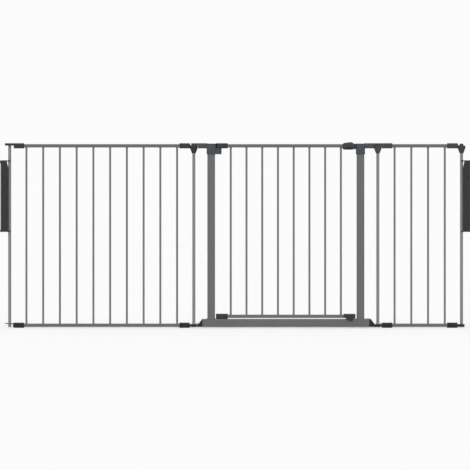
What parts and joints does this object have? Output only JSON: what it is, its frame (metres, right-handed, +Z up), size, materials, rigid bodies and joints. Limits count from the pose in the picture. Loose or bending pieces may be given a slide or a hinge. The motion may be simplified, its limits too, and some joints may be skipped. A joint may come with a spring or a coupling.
{
  "type": "safety baby gate",
  "caption": "Wall-held barred safety gate in three sections: a lift-and-swing door with a latch handle over a low sill, between two side panels that pivot to any angle.",
  "frame": {"origin": "on the floor, midway between the two wall faces and midway through the depth", "axes": "+X from the wide side panel to the narrow one, +Y from the front to the back, +Z up"},
  "size_m": [1.842, 0.036, 0.7262],
  "materials": {
    "painted_steel": "satin powder coat, mid grey",
    "fitting_plastic": "fine moulded texture, charcoal",
    "bracket_plastic": "fine moulded texture, blue charcoal",
    "handle_plastic": "fine moulded texture, charcoal",
    "cassette_plastic": "fine moulded texture, dark charcoal",
    "zinc_plate": "zinc-plated sheet",
    "bare_steel": "zinc-plated",
    "spring_steel": "bare spring wire"
  },
  "bodies": {
    "gate_frame": {"sill": "painted_steel", "left_post": "painted_steel", "right_post": "painted_steel", "sill_cap_left": "bracket_plastic", "sill_cap_right": "bracket_plastic", "left_post_bracket": "bracket_plastic", "right_post_bracket": "bracket_plastic", "gate_tube": "painted_steel", "gate_lug": "painted_steel", "upper_hinge_pin": "bare_steel", "lower_hinge_pin": "bare_steel", "bracket_screws": "bare_steel"},
    "hinge_bushes": {"upper_hinge_bush": "bare_steel", "lower_hinge_bush": "bare_steel"},
    "door": {"door_top_rail": "painted_steel", "door_bottom_rail": "painted_steel", "door_uprights": "painted_steel", "door_upper_sleeve": "fitting_plastic", "door_lower_sleeve": "fitting_plastic", "door_catch": "handle_plastic", "handle_housing": "handle_plastic", "handle_cover": "handle_plastic", "handle_screws": "bare_steel", "door_screws": "bare_steel", "latch_spring": "spring_steel"},
    "latch": {"thumb_slide": "handle_plastic", "latch_bolt": "bare_steel"},
    "left_panel": {"left_panel_top_rail": "painted_steel", "left_panel_bottom_rail": "painted_steel", "left_panel_uprights": "painted_steel", "left_panel_tube": "painted_steel", "left_panel_eye": "fitting_plastic", "left_panel_foot": "fitting_plastic", "left_panel_lug": "fitting_plastic", "left_panel_collar": "fitting_plastic", "left_panel_shoe": "fitting_plastic", "left_panel_screws": "bare_steel"},
    "right_panel": {"right_panel_top_rail": "painted_steel", "right_panel_bottom_rail": "painted_steel", "right_panel_uprights": "painted_steel", "right_panel_tube": "painted_steel", "right_panel_eye": "fitting_plastic", "right_panel_foot": "fitting_plastic", "right_panel_lug": "painted_steel", "right_panel_collar": "fitting_plastic", "right_panel_shoe": "fitting_plastic", "right_panel_screws": "bare_steel", "end_tube": "painted_steel", "end_tube_cap": "fitting_plastic"},
    "left_wall_mount": {"left_wall_plate": "zinc_plate", "left_cassette": "cassette_plastic", "left_lock_screw": "bare_steel"},
    "right_wall_mount": {"right_wall_plate": "zinc_plate", "right_cassette": "cassette_plastic", "right_lock_screw": "bare_steel"}
  },
  "joints": [
    {"name": "left_panel_fold", "type": "hinge", "parent": "gate_frame", "child": "left_panel", "pos_m": [-0.1635, 0, 0], "axis": [0, 0, 1], "range_deg": [-90, 90]},
    {"name": "right_panel_fold", "type": "hinge", "parent": "gate_frame", "child": "right_panel", "pos_m": [0.5565, 0, 0], "axis": [0, 0, 1], "range_deg": [-90, 90]},
    {"name": "left_wall_swivel", "type": "hinge", "parent": "left_panel", "child": "left_wall_mount", "pos_m": [-0.884, 0, 0], "axis": [0, 0, 1], "range_deg": [-90, 90]},
    {"name": "right_wall_swivel", "type": "hinge", "parent": "right_panel", "child": "right_wall_mount", "pos_m": [0.884, 0, 0], "axis": [0, 0, 1], "range_deg": [-90, 90]},
    {"name": "door_swing", "type": "hinge", "parent": "gate_frame", "child": "hinge_bushes", "pos_m": [-0.066, 0, 0], "axis": [0, 0, 1], "range_deg": [-90, 90]},
    {"name": "door_lift", "type": "slide", "parent": "hinge_bushes", "child": "door", "axis": [0, 0, 1], "range_m": [0, 0.012]},
    {"name": "thumb_slide", "type": "slide", "parent": "door", "child": "latch", "axis": [-1, 0, 0], "range_m": [0, 0.009], "stiffness_N_per_m": 250, "springref_m": -0.004, "deforming": ["latch_spring"]}
  ]
}
